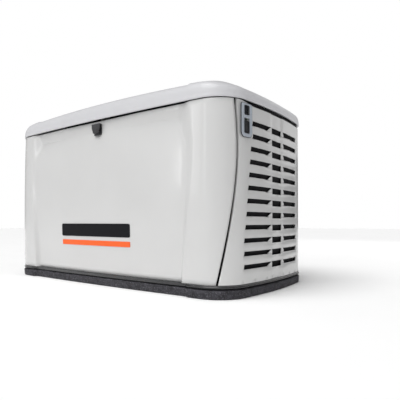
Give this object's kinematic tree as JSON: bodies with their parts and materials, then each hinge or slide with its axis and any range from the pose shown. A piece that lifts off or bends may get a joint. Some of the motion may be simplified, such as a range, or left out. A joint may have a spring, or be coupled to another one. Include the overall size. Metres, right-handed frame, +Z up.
{
  "type": "home standby generator",
  "caption": "Home standby generator in a louvred panel enclosure with hinged lid, lift-off front, engine, alternator, controls and battery.",
  "frame": {"origin": "on the ground under the middle of the mounting pad", "axes": "+Z up, +X along the length towards the end with the status window, the service front faces -Y"},
  "size_m": [1.219, 0.638, 0.732],
  "materials": {
    "light_panel": "satin powder coat",
    "lid_paint": "satin powder coat",
    "composite_pad": "mottled",
    "black_steel": "satin",
    "zinc_steel": "zinc plated",
    "black_plastic": "moulded",
    "grey_plastic": "moulded",
    "black_rubber": "matt",
    "foam_seal": "closed cell",
    "clear_lens": "clear tinted",
    "led": "diffused",
    "screen": "gloss",
    "battery_black": "moulded",
    "cast_alloy": "as cast",
    "steel_shaft": "ground",
    "laminations": "varnished stack",
    "filter_paint": "gloss",
    "filter_media": "pleated paper",
    "exhaust_steel": "heat tinted",
    "galvanised": "galvanised",
    "hose_rubber": "ribbed",
    "gas_brass": "machined",
    "regulator_alloy": "die cast",
    "button_green": "moulded",
    "button_grey": "moulded",
    "button_red": "moulded",
    "ceramic": "glazed",
    "dip_yellow": "moulded"
  },
  "bodies": {
    "enclosure": {"mounting_pad": "composite_pad", "base_pan": "black_steel", "pad_bolts": "zinc_steel", "rear_panel": "light_panel", "rear_corner_left": "light_panel", "rear_corner_right": "light_panel", "intake_panel": "light_panel", "exhaust_panel": "light_panel", "panel_screws": "zinc_steel", "exhaust_bulkhead": "galvanised", "hinge_brackets": "zinc_steel", "hinge_pins": "steel_shaft", "window_bezel": "grey_plastic", "status_lens": "clear_lens", "status_leds": "led", "shutdown_switch": "black_plastic", "stator": "laminations", "bearing_carrier": "cast_alloy", "blower_housing": "black_steel", "crankcase": "cast_alloy", "cylinders": "cast_alloy", "valve_covers": "cast_alloy", "spark_plugs": "ceramic", "oil_filter": "filter_paint", "starter_motor": "black_steel", "engine_cradle": "black_steel", "engine_mounts": "black_rubber", "intake_manifold": "cast_alloy", "air_box": "black_plastic", "air_filter": "filter_media", "fuel_inlet": "gas_brass", "fuel_regulator": "regulator_alloy", "fuel_line": "hose_rubber", "exhaust_pipes": "exhaust_steel", "muffler": "exhaust_steel", "battery_tray": "black_plastic", "battery": "battery_black", "battery_clamp": "zinc_steel", "control_housing": "black_plastic", "control_screen": "screen", "main_breaker": "black_plastic", "terminal_block": "grey_plastic"},
    "crank": {"crankshaft": "steel_shaft", "flywheel_fan": "cast_alloy", "rotor": "laminations"},
    "lid": {"lid_shell": "lid_paint", "lid_seal": "foam_seal", "hinge_straps": "zinc_steel", "lid_striker": "zinc_steel"},
    "front": {"front_panel": "light_panel", "lock_body": "black_plastic"},
    "flap": {"lock_flap": "black_rubber"},
    "lock": {"lock_barrel": "zinc_steel"},
    "rocker": {"shutdown_rocker": "button_red"},
    "stop_cover": {"shutdown_cover": "black_plastic"},
    "auto_button": {"button_auto": "button_green"},
    "off_button": {"button_off": "button_red"},
    "manual_button": {"button_manual": "button_grey"},
    "toggle": {"breaker_toggle": "black_plastic"},
    "dipstick": {"dipstick": "dip_yellow"},
    "oil_cap": {"oil_cap": "black_plastic"},
    "air_cover": {"air_box_cover": "black_plastic"}
  },
  "joints": [
    {"name": "lid_hinge", "type": "hinge", "parent": "enclosure", "child": "lid", "pos_m": [0, 0.304, 0.643], "axis": [-1, 0, 0], "range_deg": [0, 85]},
    {"name": "front_panel_lift_off", "type": "slide", "parent": "enclosure", "child": "front", "axis": [0, -1, 0], "range_m": [0, 0.25]},
    {"name": "crank_spin", "type": "hinge", "parent": "enclosure", "child": "crank", "pos_m": [0, 0, 0.232], "axis": [1, 0, 0], "continuous": true},
    {"name": "lock_flap_hinge", "type": "hinge", "parent": "front", "child": "flap", "pos_m": [0, -0.311, 0.616], "axis": [-1, 0, 0], "range_deg": [0, 95]},
    {"name": "lock_turn", "type": "hinge", "parent": "front", "child": "lock", "pos_m": [0, -0.305, 0.592], "axis": [0, -1, 0], "range_deg": [0, 90]},
    {"name": "shutdown_rocker_tilt", "type": "hinge", "parent": "enclosure", "child": "rocker", "pos_m": [0.57368, -0.20176, 0.546], "axis": [0.1305, 0.9914, 0], "range_deg": [0, 16]},
    {"name": "shutdown_cover_hinge", "type": "hinge", "parent": "enclosure", "child": "stop_cover", "pos_m": [0.59698, -0.20483, 0.5645], "axis": [-0.1305, -0.9914, 0], "range_deg": [0, 95]},
    {"name": "auto_press", "type": "slide", "parent": "enclosure", "child": "auto_button", "axis": [0, 0, -1], "range_m": [0, 0.0012], "stiffness_N_per_m": 600, "springref_m": -0.0008},
    {"name": "off_press", "type": "slide", "parent": "enclosure", "child": "off_button", "axis": [0, 0, -1], "range_m": [0, 0.0012], "stiffness_N_per_m": 600, "springref_m": -0.0008},
    {"name": "manual_press", "type": "slide", "parent": "enclosure", "child": "manual_button", "axis": [0, 0, -1], "range_m": [0, 0.0012], "stiffness_N_per_m": 600, "springref_m": -0.0008},
    {"name": "breaker_throw", "type": "hinge", "parent": "enclosure", "child": "toggle", "pos_m": [0.44, -0.201, 0.584], "axis": [-1, 0, 0], "range_deg": [0, 44]},
    {"name": "dipstick_pull", "type": "slide", "parent": "enclosure", "child": "dipstick", "axis": [0, 0, 1], "range_m": [0, 0.15]},
    {"name": "oil_cap_turn", "type": "hinge", "parent": "enclosure", "child": "oil_cap", "pos_m": [-0.224, -0.18265, 0.41465], "axis": [0, -0.7071, 0.7071], "range_deg": [0, 90]},
    {"name": "air_cover_lift_off", "type": "slide", "parent": "enclosure", "child": "air_cover", "axis": [0, 0, 1], "range_m": [0, 0.06]}
  ]
}
